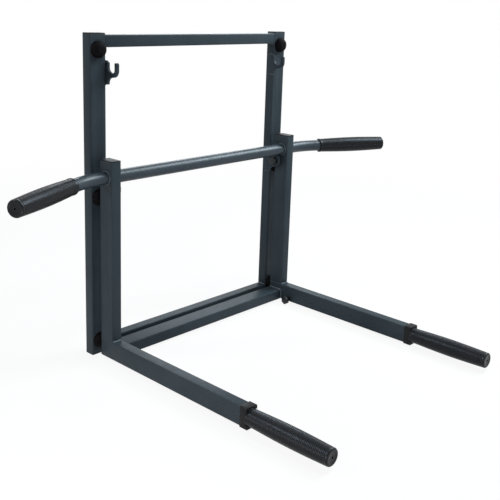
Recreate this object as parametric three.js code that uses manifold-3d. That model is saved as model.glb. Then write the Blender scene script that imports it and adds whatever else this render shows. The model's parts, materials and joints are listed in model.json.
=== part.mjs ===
// Wall-mounted dip and pull-up station: a fixed wall frame with hook plates, and an L-shaped unit hung on it.
// Millimetres, +Z up. X runs across the station, and the wall is behind it at y = 0, so forward is -Y.
import * as THREE from 'three';
import { mergeVertices } from 'three/addons/utils/BufferGeometryUtils.js';
import Module from 'manifold-3d';

const wasm = await Module();
wasm.setup();

// Steel sections
const wideSide = 40;
const narrowSide = 25;
const tubeWall = 2;
const tubeCorner = 2.5;
const railSide = 25;
const barDiameter = 28;
const barWall = 2;
const stubWall = 2.5;

// Wall frame. The bumpers are set out from the tubes' ends and from the middle hooks.
const frameWidth = 600;
const frameTubeLength = 690;
const railInset = 1.5;
const endBumperInset = 30;
const midBumperDrop = 17;

// Hanging unit. Its tubes stand a step outside the inner faces of the wall uprights.
const unitSideStep = 3.5;
const unitTubeHeight = 433;
const armLength = 423;
const barAboveHook = 31.1;
const bendAngle = THREE.MathUtils.degToRad(24.8);
const bendRadius = 180;
const bendStandoff = 10.5;
const bareLegLength = 14.1;

// Hooks and pins
const midHookHeight = 372;
const topHookDrop = 71;
const pinDiameter = 12;
const pinSetback = 7.1;
const pinEndDistance = 68;
const pinHeadAcross = 19;
const pinHeadHeight = 7.5;
const pinHeadSides = 6;
const pinEmbed = 6;
const pinSideRun = 1;
const hookThickness = 6;
const hookOverlap = 15;
const hookBowl = 15.6;
const hookBackRise = 18;
const innerProngWidth = 6.5;
const prongRise = 15;
const prongRound = 4;
const prongLead = 2.5;
const stemWidth = 5.5;
const stemDrop = 31;

// Rubber bumper caps
const bumperRimRadius = 17.4;
const bumperRimThickness = 5;
const bumperRimStep = 0.6;
const bumperFaceRadius = 5;
const bumperHeight = 14.4;
const bumperStemWall = 2.5;
const bumperStemDepth = 7;
const bumperHollowRise = 8;
const accessHoleRadius = 10;
const wallBoltHoleRadius = 5;

// Plastic end plugs
const plugFlange = 3;
const plugBevel = 0.8;
const plugDepth = 14;
const plugSkin = 2;

// Arm ends and grips
const endPlateThickness = 3;
const sleeveLength = 16.5;
const sleeveWall = 2;
const sleeveFront = 6.8;
const sleeveRecess = 3;
const recessGap = 1.2;
const gripLength = 190;
const gripEndRadius = 17.2;
const gripSwell = 1.8;
const gripFlangeRadius = 17.7;
const gripFlangeLength = 3;
const gripCollarTaper = 9;
const gripEndBevel = 2.5;
const gripEndWall = 4.5;
const ventRadius = 2;

// Fits
const fitGap = 0.3;
const slotGap = 0.4;
const cutOverrun = 1;

// Facets
const cornerSegments = 3;
const barSegments = 32;
const holeSegments = 20;
const hookSegments = 5;
const bendSteps = 6;
const gripSegments = 24;
const gripStations = 8;
const capSegments = 20;
const domeSteps = 5;

// Places that follow from the sizes above
const frameHalf = frameWidth / 2;
const frameInner = frameHalf - wideSide;
const frameFront = -narrowSide;
const frameUprightX = frameHalf - wideSide / 2;
const frameTubeTop = plugFlange + frameTubeLength;
const topHookHeight = frameTubeTop - topHookDrop;
const bumperHeights = {
  top: frameTubeTop - endBumperInset,
  mid: midHookHeight - midBumperDrop,
  low: plugFlange + endBumperInset,
};
const unitRear = frameFront - bumperHeight - fitGap;
const unitFront = unitRear - wideSide;
const unitMiddle = (unitRear + unitFront) / 2;
const unitInner = frameInner + unitSideStep;
const unitHalf = unitInner + narrowSide;
const unitTubeX = unitHalf - narrowSide / 2;
const unitTop = midHookHeight + pinEndDistance;
const unitBottom = unitTop - plugFlange - unitTubeHeight;
const armTop = unitBottom + wideSide;
const armRear = unitRear - plugFlange;
const armFront = armRear - armLength;
const barHeight = midHookHeight + barAboveHook;
const stubDiameter = narrowSide;
const pinForward = unitRear - pinSetback;
const slotForward = frameFront - pinForward;
const slotRadius = pinDiameter / 2 + slotGap;
const cornerPinForward = unitRear - pinEndDistance;
const mountHeight = plugFlange + railInset + railSide / 2;

// The bar's straight lines would meet at the bend's corner. A leg is counted from there to the grip's end.
const bendTangent = bendRadius * Math.tan(bendAngle / 2);
const bendStart = unitHalf + bendStandoff;
const bendCorner = bendStart + bendTangent;
const legLength = bendTangent + bareLegLength + gripLength;

const sides = { left: -1, right: 1 };

// Finishes
function finish(color, roughness, metalness) {
  return new THREE.MeshStandardMaterial({ color, roughness, metalness });
}

const paintedSteel = () => finish(0x3d454d, 0.42, 0.35);
const paintedBar = () => finish(0x4c5660, 0.36, 0.4);
const blackPlastic = () => finish(0x1d1c1f, 0.55, 0);
const blackRubber = () => finish(0x1a191b, 0.72, 0);

// Solids
function toSolid(geometry) {
  const plain = geometry.clone();
  plain.deleteAttribute('normal');
  plain.deleteAttribute('uv');
  const welded = mergeVertices(plain);
  return new wasm.Manifold(new wasm.Mesh({
    numProp: 3,
    vertProperties: new Float32Array(welded.attributes.position.array),
    triVerts: new Uint32Array(welded.index.array),
  }));
}

function toGeometry(solid) {
  const result = solid.getMesh();
  const geometry = new THREE.BufferGeometry();
  geometry.setAttribute('position', new THREE.BufferAttribute(new Float32Array(result.vertProperties), 3));
  geometry.setIndex(new THREE.BufferAttribute(new Uint32Array(result.triVerts), 1));
  geometry.computeVertexNormals();
  return geometry;
}

function cutAll(geometry, cutters) {
  let solid = toSolid(geometry);
  for (const cutter of cutters) solid = solid.subtract(toSolid(cutter));
  return toGeometry(solid);
}

function joinAll(first, ...others) {
  let solid = toSolid(first);
  for (const other of others) solid = solid.add(toSolid(other));
  return toGeometry(solid);
}

// Outlines
function roundedRectangle(width, depth, corner, Outline = THREE.Shape) {
  const x = width / 2 - corner;
  const y = depth / 2 - corner;
  const outline = new Outline();
  outline.absarc(x, y, corner, 0, Math.PI / 2);
  outline.absarc(-x, y, corner, Math.PI / 2, Math.PI);
  outline.absarc(-x, -y, corner, Math.PI, 1.5 * Math.PI);
  outline.absarc(x, -y, corner, 1.5 * Math.PI, 2 * Math.PI);
  outline.closePath();
  return outline;
}

function circle(radius, Outline = THREE.Shape) {
  return new Outline().absarc(0, 0, radius, 0, 2 * Math.PI);
}

// A rectangular tube along +Z, with rounded outer and inner corners
function boxTube(width, depth, length) {
  const outline = roundedRectangle(width, depth, tubeCorner);
  const boreWidth = width - 2 * tubeWall;
  const boreDepth = depth - 2 * tubeWall;
  outline.holes.push(roundedRectangle(boreWidth, boreDepth, tubeCorner - tubeWall, THREE.Path));
  return extrude(outline, length, cornerSegments);
}

function plate(width, depth, corner, thickness) {
  return extrude(roundedRectangle(width, depth, corner), thickness, cornerSegments);
}

function extrude(outline, depth, curveSegments) {
  return new THREE.ExtrudeGeometry(outline, { depth, bevelEnabled: false, curveSegments });
}

// A drill along X or Y, from one coordinate to another
function drill(radius, from, to, axis, across, height) {
  const cutter = new THREE.CylinderGeometry(radius, radius, Math.abs(to - from), holeSegments);
  const middle = (from + to) / 2;
  if (axis === 'x') {
    cutter.rotateZ(Math.PI / 2);
    cutter.translate(middle, across, height);
  } else {
    cutter.translate(across, middle, height);
  }
  return cutter;
}

// Wall frame
function wallUprightGeometry() {
  const tube = boxTube(wideSide, narrowSide, frameTubeLength);
  const half = narrowSide / 2 + cutOverrun;
  const cutters = [];
  for (const height of Object.values(bumperHeights)) {
    cutters.push(drill(accessHoleRadius, -half, 0, 'y', 0, height - plugFlange));
    cutters.push(drill(wallBoltHoleRadius, 0, half, 'y', 0, height - plugFlange));
  }
  return cutAll(tube, cutters);
}

function railGeometry() {
  return boxTube(railSide, railSide, 2 * frameInner);
}

// The hook's outline: x is forward from the upright's front face, y is up from the seated pin's axis
function hookGeometry() {
  const slotFront = slotForward + slotRadius;
  const reach = slotForward + hookBowl;
  const outline = new THREE.Shape();
  outline.moveTo(-hookOverlap, -stemDrop);
  outline.lineTo(stemWidth, -stemDrop);
  outline.quadraticCurveTo(stemWidth, -hookBowl, slotForward, -hookBowl);
  outline.absarc(slotForward, 0, hookBowl, -Math.PI / 2, 0);
  outline.lineTo(reach, prongRise - prongRound);
  outline.quadraticCurveTo(reach, prongRise, reach - prongRound, prongRise);
  outline.lineTo(slotFront + prongLead, prongRise);
  outline.quadraticCurveTo(slotFront, prongRise, slotFront, prongRise - prongLead);
  outline.absarc(slotForward, 0, slotRadius, 0, -Math.PI / 2, true);
  outline.quadraticCurveTo(innerProngWidth, -slotRadius, innerProngWidth, slotRadius);
  outline.lineTo(innerProngWidth, prongRise - prongLead);
  outline.quadraticCurveTo(innerProngWidth, prongRise, innerProngWidth - prongLead, prongRise);
  outline.lineTo(0, hookBackRise);
  outline.lineTo(-hookOverlap, hookBackRise);
  outline.closePath();
  return extrude(outline, hookThickness, hookSegments);
}

// A domed cap turned about Y. Its hollow stem plugs the access hole, and its rim lies on the upright.
function bumperGeometry() {
  const stemRadius = accessHoleRadius - fitGap;
  const hollow = stemRadius - bumperStemWall;
  const profile = [
    [0, bumperHollowRise],
    [hollow, bumperHollowRise],
    [hollow, -bumperStemDepth],
    [stemRadius, -bumperStemDepth],
    [stemRadius, 0],
    [bumperRimRadius, 0],
    [bumperRimRadius, bumperRimThickness],
  ];
  const domeWidth = bumperRimRadius - bumperRimStep - bumperFaceRadius;
  const domeHeight = bumperHeight - bumperRimThickness;
  for (let step = 0; step <= domeSteps; step += 1) {
    const angle = Math.PI / 2 * step / domeSteps;
    const radius = bumperFaceRadius + domeWidth * Math.cos(angle);
    profile.push([radius, bumperRimThickness + domeHeight * Math.sin(angle)]);
  }
  profile.push([0, bumperHeight]);
  return new THREE.LatheGeometry(profile.map(([x, y]) => new THREE.Vector2(x, y)), capSegments);
}

// An end plug along +Z: a bevelled flange above z = 0 and a hollow insert below it
function plugGeometry(width, depth) {
  const bevel = {
    depth: plugFlange - plugBevel,
    bevelEnabled: true,
    bevelThickness: plugBevel,
    bevelSize: plugBevel,
    bevelOffset: -plugBevel,
    bevelSegments: 1,
    curveSegments: cornerSegments,
  };
  const flange = new THREE.ExtrudeGeometry(roundedRectangle(width, depth, tubeCorner), bevel);
  const below = new THREE.BoxGeometry(width, depth, plugFlange);
  below.translate(0, 0, -plugFlange / 2);
  const insertWidth = width - 2 * (tubeWall + fitGap);
  const insertDepth = depth - 2 * (tubeWall + fitGap);
  const insert = new THREE.BoxGeometry(insertWidth, insertDepth, plugDepth + plugFlange / 2);
  insert.translate(0, 0, (plugFlange / 2 - plugDepth) / 2);
  const hollow = new THREE.BoxGeometry(insertWidth - 2 * plugSkin, insertDepth - 2 * plugSkin, plugDepth);
  hollow.translate(0, 0, -plugDepth / 2 - plugSkin / 2);
  return cutAll(joinAll(cutAll(flange, [below]), insert), [hollow]);
}

// Hanging unit
function frontUprightGeometry(side) {
  const length = unitTop - plugFlange - armTop;
  const tube = boxTube(narrowSide, wideSide, length);
  const half = narrowSide / 2 + cutOverrun;
  const barHole = drill(barDiameter / 2 + fitGap, -half, half, 'x', 0, barHeight - armTop);
  const pinAcross = pinForward - unitMiddle;
  const pinHole = drill(pinDiameter / 2 + fitGap, -side * half, 0, 'x', pinAcross, midHookHeight - armTop);
  return cutAll(tube, [barHole, pinHole]);
}

// The arm along +Z of its own frame, which is turned to point forward. Its x runs across, its y runs up.
function armGeometry(side) {
  const tube = boxTube(narrowSide, wideSide, armRear - armFront);
  const half = narrowSide / 2 + cutOverrun;
  const along = armRear - cornerPinForward;
  const pinHole = drill(pinDiameter / 2 + fitGap, -side * half, 0, 'x', pinSetback - wideSide / 2, along);
  return cutAll(tube, [pinHole]);
}

function crossRailGeometry() {
  return boxTube(narrowSide, wideSide, 2 * unitInner);
}

// The bar's axis in plan: straight through both uprights, then an arc and a straight leg forward at each end.
// It has one station at each end of a straight stretch, and bendSteps of them round each arc.
class BentBarAxis extends THREE.Curve {
  constructor() {
    super();
    const half = [];
    for (let step = 0; step <= bendSteps; step += 1) {
      const angle = bendAngle * step / bendSteps;
      const x = bendStart + bendRadius * Math.sin(angle);
      half.push(new THREE.Vector3(x, -bendRadius * (1 - Math.cos(angle)), 0));
    }
    half.push(alongLeg(legLength - gripEndWall - fitGap));
    const mirrored = half.map((point) => new THREE.Vector3(-point.x, point.y, 0)).reverse();
    this.stations = [...mirrored, ...half];
    this.steps = this.stations.length - 1;
  }

  getPoint(t) {
    const place = THREE.MathUtils.clamp(t, 0, 1) * this.steps;
    const index = Math.min(Math.floor(place), this.steps - 1);
    return this.stations[index].clone().lerp(this.stations[index + 1], place - index);
  }

  // The direction at a station is that of the bar there, not of the chord beside it
  getTangent(t) {
    const point = this.getPoint(t);
    const past = Math.max(Math.abs(point.x) - bendStart, 0);
    const angle = Math.min(Math.asin(Math.min(past / bendRadius, 1)), bendAngle);
    return new THREE.Vector3(Math.cos(angle), -Math.sign(point.x) * Math.sin(angle), 0);
  }

  // Stations are spread by count, not by length
  getUtoTmapping(u) {
    return u;
  }
}

// A place on the right leg's axis, at a distance from the bend's corner
function alongLeg(distance) {
  return new THREE.Vector3(bendCorner + distance * Math.cos(bendAngle), -distance * Math.sin(bendAngle), 0);
}

function pullUpBarGeometry() {
  const ring = circle(barDiameter / 2);
  ring.holes.push(circle(barDiameter / 2 - barWall, THREE.Path));
  const extrudePath = new BentBarAxis();
  const { steps } = extrudePath;
  return new THREE.ExtrudeGeometry(ring, { steps, extrudePath, curveSegments: barSegments / 2 });
}

function stubGeometry() {
  const ring = circle(stubDiameter / 2);
  ring.holes.push(circle(stubDiameter / 2 - stubWall, THREE.Path));
  return extrude(ring, sleeveFront + gripLength - gripEndWall, barSegments / 2);
}

// A round cutter along Z, from one height to another
function axisCutter(radius, from, to) {
  const cutter = new THREE.CylinderGeometry(radius, radius, to - from, barSegments);
  cutter.rotateX(Math.PI / 2);
  cutter.translate(0, 0, (from + to) / 2);
  return cutter;
}

// The sleeve along +Z: a rectangular wall round the arm's end, a cross wall that the stub goes through, and a
// round recess in front of it where the grip starts
function sleeveGeometry() {
  const insideWidth = narrowSide + 2 * fitGap;
  const insideDepth = wideSide + 2 * fitGap;
  const outerWidth = insideWidth + 2 * sleeveWall;
  const outerDepth = insideDepth + 2 * sleeveWall;
  const outer = plate(outerWidth, outerDepth, tubeCorner + sleeveWall, sleeveLength);
  const hollow = plate(insideWidth, insideDepth, tubeCorner, sleeveLength);
  hollow.translate(0, 0, -sleeveRecess - sleeveFront);
  const front = sleeveLength + cutOverrun;
  const hole = axisCutter(stubDiameter / 2 + fitGap, -cutOverrun, front);
  const recess = axisCutter(gripFlangeRadius + recessGap, sleeveLength - sleeveRecess, front);
  return cutAll(outer, [hollow, hole, recess]);
}

// A grip turned about Y: open at y = 0, with a flared collar, a barrelled body and an end wall with a vent
function gripGeometry(boreRadius) {
  const bodyEnd = gripLength - gripEndBevel;
  const bodyLength = bodyEnd - gripFlangeLength - gripCollarTaper;
  const profile = [
    [boreRadius, 0],
    [gripFlangeRadius, 0],
    [gripFlangeRadius, gripFlangeLength],
  ];
  for (let station = 0; station <= gripStations; station += 1) {
    const along = station / gripStations;
    const radius = gripEndRadius + gripSwell * Math.sin(Math.PI * along);
    profile.push([radius, bodyEnd - bodyLength * (1 - along)]);
  }
  profile.push([gripEndRadius - gripEndBevel, gripLength]);
  profile.push([ventRadius, gripLength]);
  profile.push([ventRadius, gripLength - gripEndWall]);
  profile.push([boreRadius, gripLength - gripEndWall]);
  profile.push([boreRadius, 0]);
  return new THREE.LatheGeometry(profile.map(([x, y]) => new THREE.Vector2(x, y)), gripSegments);
}

// A pin along +Y: its shank starts inside the tube at y = 0 and its six-sided head is at the far end
function pinGeometry() {
  const shankLength = pinEmbed + (unitInner - frameInner) + hookThickness + pinSideRun;
  const shank = new THREE.CylinderGeometry(
    pinDiameter / 2,
    pinDiameter / 2,
    shankLength + pinHeadHeight / 2,
    capSegments,
  );
  shank.translate(0, (shankLength + pinHeadHeight / 2) / 2, 0);
  const headCorner = pinHeadAcross / Math.sqrt(3);
  const head = new THREE.CylinderGeometry(headCorner, headCorner, pinHeadHeight, pinHeadSides);
  head.translate(0, shankLength + pinHeadHeight / 2, 0);
  return joinAll(shank, head);
}

// Assembly
function addMesh(parent, name, geometry, material, position, rotation = [0, 0, 0]) {
  const mesh = new THREE.Mesh(geometry, material);
  mesh.name = name;
  mesh.position.set(...position);
  mesh.rotation.set(...rotation);
  parent.add(mesh);
  return mesh;
}

const alongX = [0, Math.PI / 2, 0];
const alongForward = [Math.PI / 2, 0, 0];
const hookTurn = [Math.PI / 2, -Math.PI / 2, 0];
const towardsBack = [-Math.PI / 2, 0, 0];
const turnedOver = [Math.PI, 0, 0];

function buildWallFrame(frame) {
  for (const [name, side] of Object.entries(sides)) {
    const x = side * frameUprightX;
    const y = frameFront / 2;
    addMesh(frame, `wall_upright_${name}`, wallUprightGeometry(), paintedSteel(), [x, y, plugFlange]);
    const plug = plugGeometry(wideSide, narrowSide);
    addMesh(frame, `wall_plug_top_${name}`, plug, blackPlastic(), [x, y, frameTubeTop]);
    addMesh(frame, `wall_plug_low_${name}`, plug, blackPlastic(), [x, y, plugFlange], turnedOver);
    for (const [level, height] of Object.entries(bumperHeights)) {
      const place = [x, frameFront, height];
      addMesh(frame, `bumper_${level}_${name}`, bumperGeometry(), blackRubber(), place, turnedOver);
    }
    const hookX = side * (frameInner - hookThickness / 2) + hookThickness / 2;
    for (const [level, height] of [['top', topHookHeight], ['mid', midHookHeight]]) {
      const place = [hookX, frameFront, height];
      addMesh(frame, `hook_${level}_${name}`, hookGeometry(), paintedSteel(), place, hookTurn);
    }
  }
  const topRail = frameTubeTop - railInset - railSide / 2;
  for (const [name, height] of [['bottom_rail', mountHeight], ['top_rail', topRail]]) {
    addMesh(frame, name, railGeometry(), paintedSteel(), [-frameInner, -railSide / 2, height], alongX);
  }
}

function buildArm(unit, name, side) {
  const x = side * unitTubeX;
  const armMiddle = unitBottom + wideSide / 2;
  const plateFace = armFront - endPlateThickness;
  addMesh(unit, `dip_arm_${name}`, armGeometry(side), paintedSteel(), [x, armRear, armMiddle], alongForward);
  const endPlate = plate(narrowSide, wideSide, tubeCorner, endPlateThickness);
  addMesh(unit, `arm_end_plate_${name}`, endPlate, paintedSteel(), [x, armFront, armMiddle], alongForward);
  const recessFloor = plateFace - sleeveFront;
  const sleevePlace = [x, recessFloor - sleeveRecess + sleeveLength, armMiddle];
  addMesh(unit, `arm_sleeve_${name}`, sleeveGeometry(), blackPlastic(), sleevePlace, alongForward);
  addMesh(unit, `dip_stub_${name}`, stubGeometry(), paintedSteel(), [x, plateFace, armMiddle], alongForward);
  const grip = gripGeometry(stubDiameter / 2 + fitGap);
  const gripPlace = [x, recessFloor - fitGap, armMiddle];
  addMesh(unit, `dip_grip_${name}`, grip, blackRubber(), gripPlace, turnedOver);
  const plugPlace = [x, armRear, armMiddle];
  const rearPlug = plugGeometry(narrowSide, wideSide);
  addMesh(unit, `arm_plug_${name}`, rearPlug, blackPlastic(), plugPlace, towardsBack);
  const cornerPinPlace = [side * (unitInner + pinEmbed), cornerPinForward, unitBottom + pinSetback];
  addMesh(unit, `corner_pin_${name}`, pinGeometry(), paintedSteel(), cornerPinPlace, pinTurn(side));
}

// Turns a pin so that its head points to the middle of the station
function pinTurn(side) {
  return [0, 0, side * Math.PI / 2];
}

function buildHangingUnit(unit) {
  for (const [name, side] of Object.entries(sides)) {
    const x = side * unitTubeX;
    const foot = [x, unitMiddle, armTop];
    addMesh(unit, `front_upright_${name}`, frontUprightGeometry(side), paintedSteel(), foot);
    const plugPlace = [x, unitMiddle, unitTop - plugFlange];
    addMesh(unit, `upright_plug_${name}`, plugGeometry(narrowSide, wideSide), blackPlastic(), plugPlace);
    buildArm(unit, name, side);
    const hangerPlace = [side * (unitInner + pinEmbed), pinForward, midHookHeight];
    addMesh(unit, `hanger_pin_${name}`, pinGeometry(), paintedSteel(), hangerPlace, pinTurn(side));
    const gripStart = alongLeg(legLength - gripLength);
    const start = [side * gripStart.x, unitMiddle + gripStart.y, barHeight];
    const grip = gripGeometry(barDiameter / 2 + fitGap);
    const turn = [0, 0, side > 0 ? -Math.PI / 2 - bendAngle : Math.PI / 2 + bendAngle];
    addMesh(unit, `bar_grip_${name}`, grip, blackRubber(), start, turn);
  }
  const railPlace = [-unitInner, unitMiddle, unitBottom + narrowSide / 2];
  addMesh(unit, 'lower_cross_rail', crossRailGeometry(), paintedSteel(), railPlace, alongX);
  addMesh(unit, 'pull_up_bar', pullUpBarGeometry(), paintedBar(), [0, unitMiddle, barHeight]);
}

// The origin is the middle of the bottom rail's back face, which lies on the wall
const station = new THREE.Group();
station.position.z = -mountHeight;
const wallFrame = new THREE.Group();
const hangingUnit = new THREE.Group();
station.add(wallFrame, hangingUnit);
buildWallFrame(wallFrame);
buildHangingUnit(hangingUnit);

export default station;
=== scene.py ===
"""Looks of a wall-mounted dip station: satin slate paint, black ribbed grips, weld beads and soft light."""

import json
import math
import random

import bmesh
import bpy
from mathutils import Matrix, Vector


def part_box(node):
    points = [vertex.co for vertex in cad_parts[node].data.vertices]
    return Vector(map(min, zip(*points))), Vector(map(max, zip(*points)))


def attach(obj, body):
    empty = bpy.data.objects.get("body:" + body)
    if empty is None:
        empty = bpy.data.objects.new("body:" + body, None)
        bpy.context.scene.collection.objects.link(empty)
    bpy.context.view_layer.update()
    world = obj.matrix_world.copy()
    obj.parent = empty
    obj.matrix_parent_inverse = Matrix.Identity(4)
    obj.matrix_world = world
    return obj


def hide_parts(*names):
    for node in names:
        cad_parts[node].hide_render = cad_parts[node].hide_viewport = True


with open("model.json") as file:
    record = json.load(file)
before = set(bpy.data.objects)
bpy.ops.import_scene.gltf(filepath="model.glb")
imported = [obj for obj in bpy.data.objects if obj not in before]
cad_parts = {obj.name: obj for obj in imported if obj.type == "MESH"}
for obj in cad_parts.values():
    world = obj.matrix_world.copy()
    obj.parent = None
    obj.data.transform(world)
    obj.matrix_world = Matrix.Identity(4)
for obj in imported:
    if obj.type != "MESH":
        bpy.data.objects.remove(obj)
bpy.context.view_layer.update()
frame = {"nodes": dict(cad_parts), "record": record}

MM = 0.001
WALL_FRAME = "wall_frame"
UNIT = "hanging_unit"
SIDES = {"left": -1, "right": 1}

# Sizes shared with the solids, in millimetres. Heights are counted from the foot of the wall frame
ORIGIN_RISE = 17
FRAME_HALF_WIDTH = 300
WALL_TUBE_WIDTH = 40
WALL_TUBE_DEPTH = 25
UNIT_HALF_WIDTH = 288.5
UNIT_TUBE_WIDTH = 25
UNIT_REAR = -39.7
UNIT_FRONT = -79.7
ARM_TOP = 44
ARM_BOTTOM = 4
CROSS_RAIL_TOP = 29
BAR_Y = -59.7
BAR_Z = 403.1
BAR_RADIUS = 14
BEND_ANGLE = math.radians(24.8)
BEND_RADIUS = 180
BEND_START = 299
BARE_LEG = 14.1
GRIP_LENGTH = 190
GRIP_RADIUS = 17.2
GRIP_SWELL = 1.8
COLLAR_RADIUS = 17.7
COLLAR_LENGTH = 3
COLLAR_TAPER = 9
HOOK_HEIGHTS = {"top": 622, "mid": 372}
HOOK_OVERLAP = 15
HOOK_RISE = 18
HOOK_DROP = 31
BUMPER_RIM_RADIUS = 17.4
BUMPER_RIM_RISE = 5
BUMPER_DOME_RADIUS = 16.8
BUMPER_FACE_RADIUS = 5
BUMPER_RISE = 14.4

# Edges of the rigid pieces: rounding in millimetres, angles in degrees
STEEL_ROUND = 0.95
PLASTIC_ROUND = 0.9
BEVEL_SEGMENTS = 3
BEVEL_ANGLE = 40
JOIN_DISTANCE = 0.002
FLAT_ANGLE = 0.8

# Angles, in degrees, up to which the faces of a mesh are shaded as one
SMOOTH_ANGLE = 40.0
SKIN_SMOOTH_ANGLE = 32
RIB_SMOOTH_ANGLE = 22.0
BUMPER_SMOOTH_ANGLE = 55.0
BEAD_SMOOTH_ANGLE = 70.0

# Steps round a turned shape, and along the bar's bend, a small corner, a grip's shoulder and a dome
ROUND_STEPS = 72
BEND_STEPS = 28
CORNER_STEPS = 5
SHOULDER_STEPS = 8
DOME_STEPS = 14

# Grips, in millimetres. A rib's shape is (share of the pitch, share of the depth below the crest)
RIB_PITCH = 3.4
RIB_DEPTH = 0.6
RIB_SHAPE = [(0, 1), (0.13, 0.3), (0.24, 0), (0.5, -0.06), (0.76, 0), (0.87, 0.3)]
TAPER_RIBS = 2
BORE_GAP = 0.3
MOUTH_DISH = 0.3
COLLAR_OUTER_ROUND = 1.0
COLLAR_INNER_ROUND = 0.8
COLLAR_INNER_SWEEP = 80
END_ROUND = 3.4
RIM_WIDTH = 5.2
RIM_DEPTH = 0.35
RIM_SLOPE = [(0, 0), (0.4, 0.2), (0.9, RIM_DEPTH)]
VENT_RADIUS = 2.0
VENT_DEPTH = 4.0
VENT_FLARE = 0.9
VENT_CHAMFER = 0.4
TUBE_END_GAP = 1

# Bumper caps, in millimetres
BUMPER_LIFT = 0.05
BUMPER_CENTRE_RADIUS = 0.2
BUMPER_DISH = 0.2
BUMPER_RIM_ROUND = 0.7
BUMPER_RIM_SWEEP = 80

# Weld beads, in millimetres. The insets say how far a bead stops short of a corner
BEAD_RADIUS = 2.1
FOOT_BEAD_RADIUS = 2.7
SEAM_RADIUS = 0.8
RING_BEAD_RADIUS = 1.1
RING_BEAD_GAP = 0.5
RIPPLE_PITCH = 2.4
RIPPLE_SHARE = 0.16
MIN_RIPPLES = 3
STEPS_PER_RIPPLE = 6
BEAD_ROUND_STEPS = 14
BEAD_JITTER = 0.12
BEAD_TIP_WIDTH = 0.35
BEAD_TIP_GROWTH = 2.2
RING_STEPS = 120
RING_ROUND_STEPS = 10
RING_JITTER = 0.08
SHORT_INSET = 1
FOOT_INSET = 1.5
CORNER_INSET = 2
HOOK_INSET = 3

# The camera fitted to the photograph: place in millimetres from the foot, angles in degrees, frame in pixels
CAMERA_PLACE = (-1281.5, -1384.2, 772.0)
CAMERA_YAW = -47.592
CAMERA_PITCH = -13.032
CAMERA_ROLL = 2.062
FOCAL_PIXELS = 808.44
PRINCIPAL_X = 254.76
PRINCIPAL_Y = 187.01
FRAME_PIXELS = 500.0
SENSOR_WIDTH = 36.0

# How much lighter moulded black gets where it is rubbed
RUBBED_GAIN = 2.2

# Floor and fill light. The floor's height is in millimetres from the foot, its half size and fade in metres
FLOOR_HEIGHT = -1
FLOOR_HALF_SIZE = 30.0
FLOOR_COLOUR = (0.8, 0.8, 0.8)
FLOOR_WHITE_SHARE = 0.9
FLOOR_FADE = (0.8, 2.2)
FILL_COLOUR = (0.96, 0.98, 1.0)
FILL_STRENGTH = 0.16
WHITE = (1.0, 1.0, 1.0)
BLACK = (0.0, 0.0, 0.0)

# Softboxes as name, place, target, size (metres), brightness and colour
SOFTBOXES = [
    ("overhead", (0.25, -0.8, 2.0), (0.05, -0.3, 0.3), (1.0, 0.32), 17.0, (0.86, 0.95, 1.0)),
    ("key", (1.38, -0.66, 1.61), (0, -0.2, 0.3), (0.85, 0.9), 17.0, (0.8, 0.93, 1.0)),
    ("back_right", (1.5, 1.5, 1.3), (-0.25, -0.3, 0.05), (1.1, 0.85), 4.2, (0.85, 0.95, 1.0)),
    ("back_left", (-1.79, 0.93, 1.88), (-0.28, -0.57, 0.02), (0.45, 0.9), 18.0, (0.9, 0.96, 1.0)),
    ("left_arm", (-0.9, -0.62, 0.1), (-0.29, -0.45, 0.0), (0.7, 0.12), 11.0, (1.0, 0.98, 0.95)),
]


def point(x, y, z):
    """A place in the frame, in metres, from millimetres with z counted from the foot of the wall frame."""
    return Vector((x * MM, y * MM, (z - ORIGIN_RISE) * MM))


# Materials
def new_material(name):
    """An empty material with a Principled shader on its surface."""
    material = bpy.data.materials.new(name)
    material.use_nodes = True
    tree = material.node_tree
    tree.nodes.clear()
    output = tree.nodes.new("ShaderNodeOutputMaterial")
    shader = tree.nodes.new("ShaderNodeBsdfPrincipled")
    tree.links.new(shader.outputs["BSDF"], output.inputs["Surface"])
    return material, tree, shader


def noise(tree, scale, detail=3.0, roughness=0.5):
    """A noise in the object's own coordinates, so that its scale is counted per metre."""
    coordinates = tree.nodes.new("ShaderNodeTexCoord")
    texture = tree.nodes.new("ShaderNodeTexNoise")
    texture.inputs["Scale"].default_value = scale
    texture.inputs["Detail"].default_value = detail
    texture.inputs["Roughness"].default_value = roughness
    tree.links.new(coordinates.outputs["Object"], texture.inputs["Vector"])
    return texture.outputs["Fac"]


def ramp(tree, value, stops):
    """Maps a value to colours. Each stop is (place, colour), with a grey given as one number."""
    node = tree.nodes.new("ShaderNodeValToRGB")
    elements = node.color_ramp.elements
    while len(elements) < len(stops):
        elements.new(1.0)
    for element, (place, colour) in zip(elements, stops):
        element.position = place
        element.color = (*colour, 1.0) if isinstance(colour, tuple) else (colour, colour, colour, 1.0)
    tree.links.new(value, node.inputs["Fac"])
    return node.outputs["Color"]


def mix(tree, factor, first, second, blend="MIX"):
    """Mixes two colours. The factor and the colours may be values or sockets.

    The node's colour sockets are found by number, because its other sockets share their names.
    """
    node = tree.nodes.new("ShaderNodeMix")
    node.data_type = "RGBA"
    node.blend_type = blend
    factor_socket, first_socket, second_socket = node.inputs[0], node.inputs[6], node.inputs[7]
    for socket, value in ((factor_socket, factor), (first_socket, first), (second_socket, second)):
        if isinstance(value, bpy.types.NodeSocket):
            tree.links.new(value, socket)
        elif isinstance(value, tuple):
            socket.default_value = (*value, 1.0)
        else:
            socket.default_value = value
    return node.outputs[2]


def bump(tree, height, strength, distance, before=None):
    """A bumped normal, which may build on an earlier one."""
    node = tree.nodes.new("ShaderNodeBump")
    node.inputs["Strength"].default_value = strength
    node.inputs["Distance"].default_value = distance
    tree.links.new(height, node.inputs["Height"])
    if before is not None:
        tree.links.new(before, node.inputs["Normal"])
    return node.outputs["Normal"]


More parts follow.
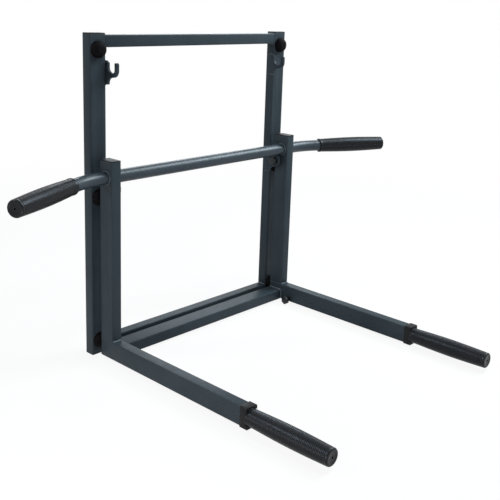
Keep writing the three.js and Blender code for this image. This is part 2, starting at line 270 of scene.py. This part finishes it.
def edge_mask(tree, radius):
    """White along sharp edges: where the rounded normal leaves the face's own normal."""
    rounded = tree.nodes.new("ShaderNodeBevel")
    rounded.samples = 4
    rounded.inputs["Radius"].default_value = radius
    geometry = tree.nodes.new("ShaderNodeNewGeometry")
    dot = tree.nodes.new("ShaderNodeVectorMath")
    dot.operation = "DOT_PRODUCT"
    tree.links.new(rounded.outputs["Normal"], dot.inputs[0])
    tree.links.new(geometry.outputs["Normal"], dot.inputs[1])
    return ramp(tree, dot.outputs["Value"], [(0.86, 1.0), (0.995, 0.0)])


def vary_roughness(tree, shader, pattern, roughness, spread):
    """Lets a pattern vary the surface's roughness, from the given value up by the spread."""
    varied = ramp(tree, pattern, [(0.3, roughness), (0.7, roughness + spread)])
    tree.links.new(varied, shader.inputs["Roughness"])


def painted_steel(name, dark, light, edge, roughness, specular):
    """Satin powder coat: cloudy tone, fine orange peel, and lighter edges in patches, partly paint worn thin
    and partly a painted highlight where light catches the edges.
    """
    material, tree, shader = new_material(name)
    clouds = ramp(tree, noise(tree, scale=9.0, detail=4.0), [(0.3, dark), (0.72, light)])
    grain = noise(tree, scale=1500.0, detail=2.0, roughness=0.6)
    grain_tone = ramp(tree, grain, [(0.35, 0.25), (0.65, 0.75)])
    speckled = mix(tree, factor=0.16, first=clouds, second=grain_tone, blend="OVERLAY")
    # Lighter colour along the edges in patches: partly worn paint, partly a painted highlight standing for
    # light caught by the rounded edges
    patchy = ramp(tree, noise(tree, scale=120.0, detail=4.0, roughness=0.7), [(0.3, 0.45), (0.6, 1.0)])
    wear_and_edge_highlight = mix(tree, factor=patchy, first=BLACK, second=edge_mask(tree, radius=1.6 * MM))
    coloured = mix(tree, factor=wear_and_edge_highlight, first=speckled, second=edge)
    tree.links.new(coloured, shader.inputs["Base Color"])
    wear_pattern = noise(tree, scale=60.0, detail=5.0, roughness=0.65)
    vary_roughness(tree, shader, wear_pattern, roughness, spread=0.1)
    peel = bump(tree, noise(tree, scale=620.0, detail=2.0), strength=0.22, distance=0.25 * MM)
    surface = bump(tree, grain, strength=0.12, distance=0.1 * MM, before=peel)
    tree.links.new(surface, shader.inputs["Normal"])
    shader.inputs["Metallic"].default_value = 0.0
    shader.inputs["Specular IOR Level"].default_value = specular
    return material


def moulded_black(name, dark, light, roughness, specular, tint, grain_scale, grain_strength):
    """Moulded black plastic or rubber: fine grain, faint bloom and slightly rubbed edges."""
    material, tree, shader = new_material(name)
    bloom = ramp(tree, noise(tree, scale=24.0, detail=5.0, roughness=0.62), [(0.32, dark), (0.75, light)])
    rubbed_colour = tuple(RUBBED_GAIN * channel for channel in light)
    rubbed = mix(tree, factor=edge_mask(tree, radius=0.9 * MM), first=bloom, second=rubbed_colour)
    coloured = mix(tree, factor=0.35, first=bloom, second=rubbed)
    tree.links.new(coloured, shader.inputs["Base Color"])
    vary_roughness(tree, shader, noise(tree, scale=90.0, detail=4.0), roughness, spread=0.12)
    grain = noise(tree, grain_scale, detail=3.0, roughness=0.6)
    tree.links.new(bump(tree, grain, grain_strength, distance=0.12 * MM), shader.inputs["Normal"])
    shader.inputs["Specular IOR Level"].default_value = specular
    shader.inputs["Specular Tint"].default_value = (*tint, 1.0)
    return material


def pin_steel(name, dark, light, edge):
    """Dark coated bolt steel, with rubbed corners where the metal shows."""
    material, tree, shader = new_material(name)
    patches = ramp(tree, noise(tree, scale=260.0, detail=5.0, roughness=0.7), [(0.35, dark), (0.7, light)])
    rubbed = mix(tree, factor=edge_mask(tree, radius=0.8 * MM), first=patches, second=edge)
    tree.links.new(rubbed, shader.inputs["Base Color"])
    vary_roughness(tree, shader, noise(tree, scale=180.0), roughness=0.3, spread=0.16)
    surface = bump(tree, noise(tree, scale=900.0), strength=0.2, distance=0.1 * MM)
    tree.links.new(surface, shader.inputs["Normal"])
    shader.inputs["Metallic"].default_value = 0.35
    shader.inputs["Specular IOR Level"].default_value = 0.3
    return material


# The edge colours of the painted steels are lighter: partly worn paint, partly a painted highlight along the
# edges
MATERIALS = {
    "painted_steel": painted_steel(
        "slate_paint",
        dark=(0.024, 0.0335, 0.041),
        light=(0.034, 0.0445, 0.053),
        edge=(0.11, 0.13, 0.15),
        roughness=0.36,
        specular=0.08,
    ),
    # The weld beads get a lighter, glossier copy of the slate paint: the gloss is the coat's own, the lighter
    # colour is a painted highlight on the welds
    "weld_paint": painted_steel(
        "weld_paint",
        dark=(0.05, 0.066, 0.08),
        light=(0.075, 0.095, 0.112),
        edge=(0.12, 0.14, 0.16),
        roughness=0.24,
        specular=0.45,
    ),
    "painted_bar": painted_steel(
        "slate_bar_paint",
        dark=(0.016, 0.026, 0.035),
        light=(0.023, 0.035, 0.046),
        edge=(0.1, 0.12, 0.14),
        roughness=0.32,
        specular=0.3,
    ),
    "pin_steel": pin_steel(
        "pin_steel",
        dark=(0.01, 0.011, 0.012),
        light=(0.022, 0.023, 0.025),
        edge=(0.16, 0.17, 0.18),
    ),
    "black_plastic": moulded_black(
        "moulded_plastic",
        dark=(0.006, 0.006, 0.006),
        light=(0.011, 0.01, 0.01),
        roughness=0.44,
        specular=0.14,
        tint=(0.9, 0.95, 1.0),
        grain_scale=1400.0,
        grain_strength=0.25,
    ),
    "black_rubber": moulded_black(
        "grip_rubber",
        dark=(0.003, 0.002, 0.002),
        light=(0.005, 0.004, 0.004),
        roughness=0.27,
        specular=0.24,
        tint=(0.74, 0.87, 1.0),
        grain_scale=1100.0,
        grain_strength=0.02,
    ),
    "bumper_rubber": moulded_black(
        "bumper_rubber",
        dark=(0.003, 0.002, 0.003),
        light=(0.006, 0.005, 0.005),
        roughness=0.55,
        specular=0.04,
        tint=(0.9, 0.95, 1.0),
        grain_scale=700.0,
        grain_strength=0.25,
    ),
}


# Meshes
def add_piece(name, mesh, body, slot, nodes=(), look=None):
    """Puts a mesh in the scene with its material, on its body, in place of the nodes it stands for."""
    piece = bpy.data.objects.new(name, mesh)
    bpy.context.scene.collection.objects.link(piece)
    mesh.materials.clear()
    mesh.materials.append(MATERIALS[look or slot])
    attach(piece, body)
    if nodes:
        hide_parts(*nodes)
    return piece


def mesh_from(name, vertices, faces, smooth_angle=SMOOTH_ANGLE):
    """A mesh from points and faces, shaded smooth except at its sharp edges."""
    mesh = bpy.data.meshes.new(name)
    mesh.from_pydata([tuple(v) for v in vertices], [], faces)
    mesh.update()
    mesh.shade_smooth()
    mesh.set_sharp_from_angle(angle=math.radians(smooth_angle))
    return mesh


def ring_faces(rings, around, closed=False, turned=False):
    """Faces between rings of points, with both ends covered unless the rings close on themselves.

    The faces look outwards when the points of a ring run anticlockwise seen from the next one, or
    with turned when they run clockwise.
    """
    faces = []
    for ring in range(rings if closed else rings - 1):
        here = ring * around
        there = (ring + 1) % rings * around
        for step in range(around):
            after = (step + 1) % around
            if turned:
                faces.append((here + step, there + step, there + after, here + after))
            else:
                faces.append((here + step, here + after, there + after, there + step))
    if not closed:
        first = tuple(range(around))
        last = tuple(range((rings - 1) * around, rings * around))
        faces.append(first if turned else first[::-1])
        faces.append(last[::-1] if turned else last)
    return faces


def lathe(profile, place, axis, closed=False):
    """Turns a profile of (radius, distance) points about an axis. Both are in millimetres from the place."""
    turn = axis.normalized().to_track_quat("Z", "X").to_matrix().to_4x4()
    vertices = []
    for radius, distance in profile:
        for step in range(ROUND_STEPS):
            angle = 2 * math.pi * step / ROUND_STEPS
            local = Vector((radius * math.cos(angle), radius * math.sin(angle), distance)) * MM
            vertices.append(place + turn @ local)
    return vertices, ring_faces(len(profile), ROUND_STEPS, closed)


def rounded_corner(centre_radius, centre_distance, radius, start, end, steps=CORNER_STEPS):
    """Points on an arc of a lathe profile, from one angle to another, in degrees."""
    made = []
    for step in range(steps + 1):
        angle = math.radians(start + (end - start) * step / steps)
        made.append((centre_radius + radius * math.cos(angle), centre_distance + radius * math.sin(angle)))
    return made


def rejoin_flat_faces(mesh):
    """Merges doubled points and dissolves the triangle edges that lie within a flat face."""
    shape = bmesh.new()
    shape.from_mesh(mesh)
    bmesh.ops.remove_doubles(shape, verts=shape.verts, dist=JOIN_DISTANCE * MM)
    bmesh.ops.dissolve_limit(
        shape,
        angle_limit=math.radians(FLAT_ANGLE),
        verts=shape.verts,
        edges=shape.edges,
        use_dissolve_boundaries=False,
    )
    shape.to_mesh(mesh)
    shape.free()


def round_edges(piece, rounding):
    """Gives a piece rounded edges as part of its own mesh."""
    bevel = piece.modifiers.new("edges", "BEVEL")
    bevel.width = rounding * MM
    bevel.segments = BEVEL_SEGMENTS
    bevel.limit_method = "ANGLE"
    bevel.angle_limit = math.radians(BEVEL_ANGLE)
    bpy.context.view_layer.update()
    depsgraph = bpy.context.evaluated_depsgraph_get()
    finished = bpy.data.meshes.new_from_object(piece.evaluated_get(depsgraph))
    piece.modifiers.clear()
    piece.data = finished
    finished.shade_smooth()
    finished.set_sharp_from_angle(angle=math.radians(SKIN_SMOOTH_ANGLE))


# Rigid pieces that keep their shape and get rounded edges
def soften_rigid_pieces():
    """Draws each rigid solid again with rounded edges. The bar, grips and bumpers are made further down."""
    slots = {entry["node"]: entry["material_slot"] for entry in frame["record"]["subparts"]}
    owners = {}
    for body, nodes in frame["record"]["behaviour"]["bodies"].items():
        for node in nodes:
            owners[node] = body
    for node, slot in slots.items():
        if slot in ("black_rubber", "painted_bar"):
            continue
        mesh = frame["nodes"][node].data.copy()
        mesh.name = node + "_skin"
        rejoin_flat_faces(mesh)
        piece = add_piece(node + "_skin", mesh, owners[node], slot, [node])
        round_edges(piece, PLASTIC_ROUND if slot == "black_plastic" else STEEL_ROUND)


# The bent bar
def bar_tip(side):
    """The outer end of a grip on the bar, on the bar's axis."""
    tangent = BEND_RADIUS * math.tan(BEND_ANGLE / 2)
    leg = tangent + BARE_LEG + GRIP_LENGTH
    x = BEND_START + tangent + leg * math.cos(BEND_ANGLE)
    return point(side * x, BAR_Y - leg * math.sin(BEND_ANGLE), BAR_Z)


def bar_path():
    """Stations (place, direction) along the bar's axis, from the left tip to the right."""
    half = [(point(0, BAR_Y, BAR_Z), Vector((1, 0, 0)))]
    for step in range(BEND_STEPS + 1):
        angle = BEND_ANGLE * step / BEND_STEPS
        x = BEND_START + BEND_RADIUS * math.sin(angle)
        y = BAR_Y - BEND_RADIUS * (1 - math.cos(angle))
        half.append((point(x, y, BAR_Z), Vector((math.cos(angle), -math.sin(angle), 0))))
    end_direction = half[-1][1]
    half.append((bar_tip(1) - end_direction * (VENT_DEPTH + TUBE_END_GAP) * MM, end_direction))
    mirrored = []
    for place, direction in reversed(half[1:]):
        mirrored.append((Vector((-place.x, place.y, place.z)), Vector((direction.x, -direction.y, 0))))
    return mirrored + half


def make_bar():
    """The round tube, as rings of points along its path."""
    stations = bar_path()
    up = Vector((0, 0, 1))
    vertices = []
    for place, direction in stations:
        across = direction.cross(up)
        for step in range(ROUND_STEPS):
            angle = 2 * math.pi * step / ROUND_STEPS
            vertices.append(place + (across * math.cos(angle) + up * math.sin(angle)) * BAR_RADIUS * MM)
    faces = ring_faces(len(stations), ROUND_STEPS, turned=True)
    mesh = mesh_from("pull_up_bar", vertices, faces)
    add_piece("pull_up_bar_tube", mesh, UNIT, "painted_bar", ["pull_up_bar"])


# Grips: ribbed barrels with a smooth collar at the inner end and a rimmed end disc with a vent hole
def collar_profile(bore):
    """The open end of a grip, from the bore round to the inner side of the collar."""
    outer = COLLAR_OUTER_ROUND
    inner = COLLAR_INNER_ROUND
    profile = [(bore, MOUTH_DISH), (COLLAR_RADIUS - outer, 0.0)]
    profile += rounded_corner(COLLAR_RADIUS - outer, outer, outer, -90, 0)
    profile += rounded_corner(COLLAR_RADIUS - inner, COLLAR_LENGTH - inner, inner, 0, COLLAR_INNER_SWEEP)
    return profile


def rib_profile():
    """The ribs of a grip. They begin on the taper behind the collar and swell towards the middle."""
    start = COLLAR_LENGTH + COLLAR_TAPER
    end = GRIP_LENGTH - END_ROUND - RIB_PITCH
    count = round((end - start) / RIB_PITCH)
    profile = []
    for rib in range(-TAPER_RIBS, count):
        for part, groove in RIB_SHAPE:
            share = (rib + part) / count
            crest = GRIP_RADIUS + GRIP_SWELL * math.sin(math.pi * max(share, 0))
            profile.append((crest - groove * RIB_DEPTH, start + share * (end - start)))
    profile.append((GRIP_RADIUS - RIB_DEPTH, end))
    return profile


def end_disc_profile(bore):
    """The closed end of a grip, from its rounded shoulder over the rim to the vent and back to the bore."""
    corner = END_ROUND
    profile = rounded_corner(GRIP_RADIUS - corner, GRIP_LENGTH - corner, corner, 0, 90, SHOULDER_STEPS)
    rim = GRIP_RADIUS - RIM_WIDTH
    for inward, down in RIM_SLOPE:
        profile.append((rim - inward, GRIP_LENGTH - down))
    disc = GRIP_LENGTH - RIM_DEPTH
    inner_face = GRIP_LENGTH - VENT_DEPTH
    profile += [(VENT_RADIUS + VENT_FLARE, disc), (VENT_RADIUS, disc - VENT_CHAMFER)]
    profile += [(VENT_RADIUS, inner_face), (bore, inner_face)]
    return profile


def make_grip(node, place, axis):
    """A grip whose open end lies at the place and whose closed end lies along the axis."""
    bore = BAR_RADIUS + BORE_GAP
    profile = collar_profile(bore) + rib_profile() + end_disc_profile(bore)
    vertices, faces = lathe(profile, place, axis, closed=True)
    mesh = mesh_from(node, vertices, faces, RIB_SMOOTH_ANGLE)
    add_piece(node + "_rubber", mesh, UNIT, "black_rubber", [node])


def make_grips():
    """A pair on the dip arms and a pair on the ends of the bar."""
    for name, side in SIDES.items():
        low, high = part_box(f"dip_grip_{name}")
        middle = (low + high) / 2
        make_grip(f"dip_grip_{name}", Vector((middle.x, high.y, middle.z)), Vector((0, -1, 0)))
        direction = Vector((side * math.cos(BEND_ANGLE), -math.sin(BEND_ANGLE), 0))
        make_grip(f"bar_grip_{name}", bar_tip(side) - direction * GRIP_LENGTH * MM, direction)


# Bumper caps
def bumper_profile():
    """A short cylindrical rim with a dome on it, and a small flat face."""
    corner = BUMPER_RIM_ROUND
    corner_centre = (BUMPER_RIM_RADIUS - corner, BUMPER_RIM_RISE - corner)
    profile = [(BUMPER_CENTRE_RADIUS, BUMPER_LIFT), (BUMPER_RIM_RADIUS, BUMPER_LIFT)]
    profile += rounded_corner(*corner_centre, corner, 0, BUMPER_RIM_SWEEP)
    width = BUMPER_DOME_RADIUS - BUMPER_FACE_RADIUS
    rise = BUMPER_RISE - BUMPER_RIM_RISE
    for step in range(DOME_STEPS + 1):
        angle = math.pi / 2 * step / DOME_STEPS
        radius = BUMPER_FACE_RADIUS + width * math.cos(angle)
        profile.append((radius, BUMPER_RIM_RISE + rise * math.sin(angle)))
    profile.append((BUMPER_CENTRE_RADIUS, BUMPER_RISE - BUMPER_DISH))
    return profile


def make_bumpers():
    """Three rubber caps on the front of each wall upright."""
    for level in ("top", "mid", "low"):
        for name in SIDES:
            node = f"bumper_{level}_{name}"
            low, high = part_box(node)
            middle = (low + high) / 2
            place = Vector((middle.x, -WALL_TUBE_DEPTH * MM, middle.z))
            vertices, faces = lathe(bumper_profile(), place, Vector((0, -1, 0)))
            mesh = mesh_from(node, vertices, faces, BUMPER_SMOOTH_ANGLE)
            add_piece(node + "_cap", mesh, WALL_FRAME, "black_rubber", [node], "bumper_rubber")


# Welds
def ripple(phase):
    """How wide a bead is at a phase counted in ripples, as a share of its full width."""
    return 1 - RIPPLE_SHARE * abs(math.cos(math.pi * phase))


def bead(name, body, start, end, radius=BEAD_RADIUS, look="weld_paint"):
    """A rippled weld bead along a straight line, with a slightly uneven width and thin tips."""
    rng = random.Random(name)
    line = end - start
    direction = line.normalized()
    side = direction.orthogonal().normalized()
    up = direction.cross(side)
    ripples = max(MIN_RIPPLES, int(line.length / (RIPPLE_PITCH * MM)))
    widths = [1 + rng.uniform(-BEAD_JITTER, BEAD_JITTER) for _ in range(ripples + 2)]
    steps = ripples * STEPS_PER_RIPPLE
    vertices = []
    for index in range(steps + 1):
        share = index / steps
        phase = share * ripples
        taper = min(1.0, BEAD_TIP_WIDTH + BEAD_TIP_GROWTH * min(phase, ripples - phase))
        width = radius * MM * ripple(phase) * taper * widths[int(phase)]
        centre = start + line * share
        for step in range(BEAD_ROUND_STEPS):
            angle = 2 * math.pi * step / BEAD_ROUND_STEPS
            vertices.append(centre + (side * math.cos(angle) + up * math.sin(angle)) * width)
    mesh = mesh_from(name, vertices, ring_faces(steps + 1, BEAD_ROUND_STEPS), BEAD_SMOOTH_ANGLE)
    add_piece(name, mesh, body, "painted_steel", look=look)


def seam(name, body, start, end):
    """A thin bead that has been ground nearly flush and painted over."""
    bead(name, body, start, end, SEAM_RADIUS, "painted_steel")


def ring_bead(name, body, centre, axis):
    """A rippled bead round the bar where it enters a tube."""
    rng = random.Random(name)
    turn = axis.to_track_quat("Z", "X").to_matrix()
    radius = BAR_RADIUS + RING_BEAD_GAP
    ripples = int(2 * math.pi * radius / RIPPLE_PITCH)
    jitter = [rng.uniform(-RING_JITTER, RING_JITTER) for _ in range(ripples)]
    vertices = []
    for index in range(RING_STEPS):
        angle = 2 * math.pi * index / RING_STEPS
        phase = ripples * index / RING_STEPS
        width = RING_BEAD_RADIUS * (ripple(phase) + jitter[int(phase) % ripples])
        outward = Vector((math.cos(angle), math.sin(angle), 0))
        for step in range(RING_ROUND_STEPS):
            section = 2 * math.pi * step / RING_ROUND_STEPS
            local = outward * (radius + width * math.cos(section)) + Vector((0, 0, width * math.sin(section)))
            vertices.append(centre + turn @ (local * MM))
    faces = ring_faces(RING_STEPS, RING_ROUND_STEPS, closed=True, turned=True)
    mesh = mesh_from(name, vertices, faces, BEAD_SMOOTH_ANGLE)
    add_piece(name, mesh, body, "painted_steel", look="weld_paint")


def weld_upright(name, side, inner, outer):
    """A bead at the foot of one of the unit's uprights, a seam on each side of it and rings round the bar."""
    foot_inset = side * FOOT_INSET
    bead(
        f"weld_upright_foot_{name}",
        UNIT,
        point(inner + foot_inset, UNIT_FRONT, ARM_TOP),
        point(outer - foot_inset, UNIT_FRONT, ARM_TOP),
        FOOT_BEAD_RADIUS,
    )
    for place, x in (("inner", inner), ("outer", outer)):
        seam(
            f"weld_upright_{place}_{name}",
            UNIT,
            point(x, UNIT_REAR - CORNER_INSET, ARM_TOP),
            point(x, UNIT_FRONT + CORNER_INSET, ARM_TOP),
        )
        ring_bead(f"weld_bar_{place}_{name}", UNIT, point(x, BAR_Y, BAR_Z), Vector((1, 0, 0)))


def weld_cross_rail(name, inner):
    """A bead along the top and one down the front of the cross rail, where it meets an arm."""
    bead(
        f"weld_cross_rail_top_{name}",
        UNIT,
        point(inner, UNIT_REAR - CORNER_INSET, CROSS_RAIL_TOP),
        point(inner, UNIT_FRONT + SHORT_INSET, CROSS_RAIL_TOP),
    )
    bead(
        f"weld_cross_rail_front_{name}",
        UNIT,
        point(inner, UNIT_FRONT, CROSS_RAIL_TOP - SHORT_INSET),
        point(inner, UNIT_FRONT, ARM_BOTTOM + SHORT_INSET),
    )


def make_unit_welds():
    """The welds of the hanging unit, on its left and its right."""
    for name, side in SIDES.items():
        outer = side * UNIT_HALF_WIDTH
        inner = side * (UNIT_HALF_WIDTH - UNIT_TUBE_WIDTH)
        weld_upright(name, side, inner, outer)
        weld_cross_rail(name, inner)


def make_frame_welds():
    """A seam and two beads at each end of the wall frame's rails."""
    front = -WALL_TUBE_DEPTH
    for rail in ("top_rail", "bottom_rail"):
        low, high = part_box(rail)
        bottom = low.z / MM + ORIGIN_RISE
        top = high.z / MM + ORIGIN_RISE
        for name, side in SIDES.items():
            x = side * (FRAME_HALF_WIDTH - WALL_TUBE_WIDTH)
            seam(
                f"weld_{rail}_front_{name}",
                WALL_FRAME,
                point(x, front, bottom + SHORT_INSET),
                point(x, front, top - SHORT_INSET),
            )
            for place, z in (("under", bottom), ("over", top)):
                bead(
                    f"weld_{rail}_{place}_{name}",
                    WALL_FRAME,
                    point(x, -CORNER_INSET, z),
                    point(x, front + CORNER_INSET, z),
                )


def make_hook_welds():
    """Three beads round the part of each hook plate that lies on its upright."""
    front = -WALL_TUBE_DEPTH
    rear = front + HOOK_OVERLAP
    for level, height in HOOK_HEIGHTS.items():
        top = height + HOOK_RISE
        bottom = height - HOOK_DROP
        for name, side in SIDES.items():
            x = side * (FRAME_HALF_WIDTH - WALL_TUBE_WIDTH)
            lines = {
                "rear": (point(x, rear, bottom + HOOK_INSET), point(x, rear, top - HOOK_INSET)),
                "foot": (point(x, rear - SHORT_INSET, bottom), point(x, front, bottom)),
                "head": (point(x, rear - SHORT_INSET, top), point(x, front, top)),
            }
            for place, (start, end) in lines.items():
                bead(f"weld_hook_{level}_{place}_{name}", WALL_FRAME, start, end)


# Studio
def add_shader(tree, kind, colour, strength=None):
    """A shader node of one colour, with a strength if it gives light."""
    shader = tree.nodes.new(kind)
    shader.inputs["Color"].default_value = (*colour, 1.0)
    if strength is not None:
        shader.inputs["Strength"].default_value = strength
    return shader.outputs[0]


def seen_factor(tree, share):
    """A share for camera, glossy and transmission rays, and zero for those that only carry light."""
    paths = tree.nodes.new("ShaderNodeLightPath")
    seen = paths.outputs["Is Camera Ray"]
    for kind in ("Is Glossy Ray", "Is Transmission Ray"):
        larger = tree.nodes.new("ShaderNodeMath")
        larger.operation = "MAXIMUM"
        tree.links.new(seen, larger.inputs[0])
        tree.links.new(paths.outputs[kind], larger.inputs[1])
        seen = larger.outputs[0]
    scaled = tree.nodes.new("ShaderNodeMath")
    scaled.operation = "MULTIPLY"
    tree.links.new(seen, scaled.inputs[0])
    if isinstance(share, bpy.types.NodeSocket):
        tree.links.new(share, scaled.inputs[1])
    else:
        scaled.inputs[1].default_value = share
    return scaled.outputs[0]


def mix_shaders(tree, factor, first, second, output):
    """Puts a mix of two shaders on the surface of a material or world."""
    node = tree.nodes.new("ShaderNodeMixShader")
    tree.links.new(factor, node.inputs[0])
    tree.links.new(first, node.inputs[1])
    tree.links.new(second, node.inputs[2])
    tree.links.new(node.outputs[0], output.inputs["Surface"])


def far_share(tree):
    """From zero near the object to one where the floor runs out of the light."""
    coordinates = tree.nodes.new("ShaderNodeTexCoord")
    distance = tree.nodes.new("ShaderNodeVectorMath")
    distance.operation = "LENGTH"
    tree.links.new(coordinates.outputs["Object"], distance.inputs[0])
    near, far = FLOOR_FADE
    spread = tree.nodes.new("ShaderNodeMapRange")
    spread.interpolation_type = "SMOOTHSTEP"
    spread.inputs["From Min"].default_value = near
    spread.inputs["From Max"].default_value = far
    tree.links.new(distance.outputs["Value"], spread.inputs["Value"])
    return spread.outputs["Result"]


def pale_floor():
    """A material that shows nearly white, wholly so far from the object, and keeps a soft shadow."""
    material = bpy.data.materials.new("pale_floor")
    material.use_nodes = True
    tree = material.node_tree
    tree.nodes.clear()
    output = tree.nodes.new("ShaderNodeOutputMaterial")
    lit = add_shader(tree, "ShaderNodeBsdfDiffuse", FLOOR_COLOUR)
    white = add_shader(tree, "ShaderNodeEmission", WHITE, 1.0)
    share = tree.nodes.new("ShaderNodeMapRange")
    share.inputs["To Min"].default_value = FLOOR_WHITE_SHARE
    tree.links.new(far_share(tree), share.inputs["Value"])
    mix_shaders(tree, seen_factor(tree, share.outputs["Result"]), lit, white, output)
    return material


def make_floor():
    """A pale floor just below the foot of the frame."""
    size = FLOOR_HALF_SIZE
    level = point(0, 0, FLOOR_HEIGHT).z
    corners = [(-size, -size, level), (size, -size, level), (size, size, level), (-size, size, level)]
    mesh = mesh_from("floor", corners, [(0, 1, 2, 3)])
    mesh.materials.append(pale_floor())
    floor = bpy.data.objects.new("floor", mesh)
    bpy.context.scene.collection.objects.link(floor)


def make_world():
    """White where it is seen or mirrored, and a weaker cool fill where it only lights."""
    world = bpy.data.worlds.new("studio")
    world.use_nodes = True
    tree = world.node_tree
    tree.nodes.clear()
    output = tree.nodes.new("ShaderNodeOutputWorld")
    fill = add_shader(tree, "ShaderNodeBackground", FILL_COLOUR, FILL_STRENGTH)
    white = add_shader(tree, "ShaderNodeBackground", WHITE, 1.0)
    mix_shaders(tree, seen_factor(tree, 1.0), fill, white, output)
    bpy.context.scene.world = world


def make_lamps():
    """The softboxes. A lamp's power follows from its brightness and its area."""
    for name, place, target, (width, height), brightness, colour in SOFTBOXES:
        data = bpy.data.lights.new(name, "AREA")
        data.shape = "RECTANGLE"
        data.size = width
        data.size_y = height
        data.energy = brightness * math.pi * width * height
        data.color = colour
        lamp = bpy.data.objects.new(name, data)
        lamp.location = place
        lamp.rotation_mode = "QUATERNION"
        lamp.rotation_quaternion = (Vector(target) - Vector(place)).to_track_quat("-Z", "Y")
        lamp.visible_camera = False
        bpy.context.scene.collection.objects.link(lamp)


def make_camera():
    """The camera fitted to the photograph: its place, its direction, its slight roll and its shift."""
    place = point(*CAMERA_PLACE)
    yaw = math.radians(CAMERA_YAW)
    pitch = math.radians(CAMERA_PITCH)
    roll = math.radians(CAMERA_ROLL)
    forward = Vector((-math.sin(yaw) * math.cos(pitch), math.cos(yaw) * math.cos(pitch), math.sin(pitch)))
    level = Vector((math.cos(yaw), math.sin(yaw), 0))
    upright = level.cross(forward)
    right = level * math.cos(roll) + upright * math.sin(roll)
    up = upright * math.cos(roll) - level * math.sin(roll)
    data = bpy.data.cameras.new("camera")
    data.sensor_width = SENSOR_WIDTH
    data.lens = FOCAL_PIXELS * SENSOR_WIDTH / FRAME_PIXELS
    data.shift_x = (FRAME_PIXELS / 2 - PRINCIPAL_X) / FRAME_PIXELS
    data.shift_y = (PRINCIPAL_Y - FRAME_PIXELS / 2) / FRAME_PIXELS
    camera = bpy.data.objects.new("camera", data)
    turn = Matrix((right, up, -forward)).transposed().to_4x4()
    camera.matrix_world = Matrix.Translation(place) @ turn
    bpy.context.scene.collection.objects.link(camera)
    bpy.context.scene.camera = camera


make_camera()
soften_rigid_pieces()
make_bar()
make_grips()
make_bumpers()
make_unit_welds()
make_frame_welds()
make_hook_welds()
make_floor()
make_world()
make_lamps()
bpy.context.scene.view_settings.view_transform = "Standard"
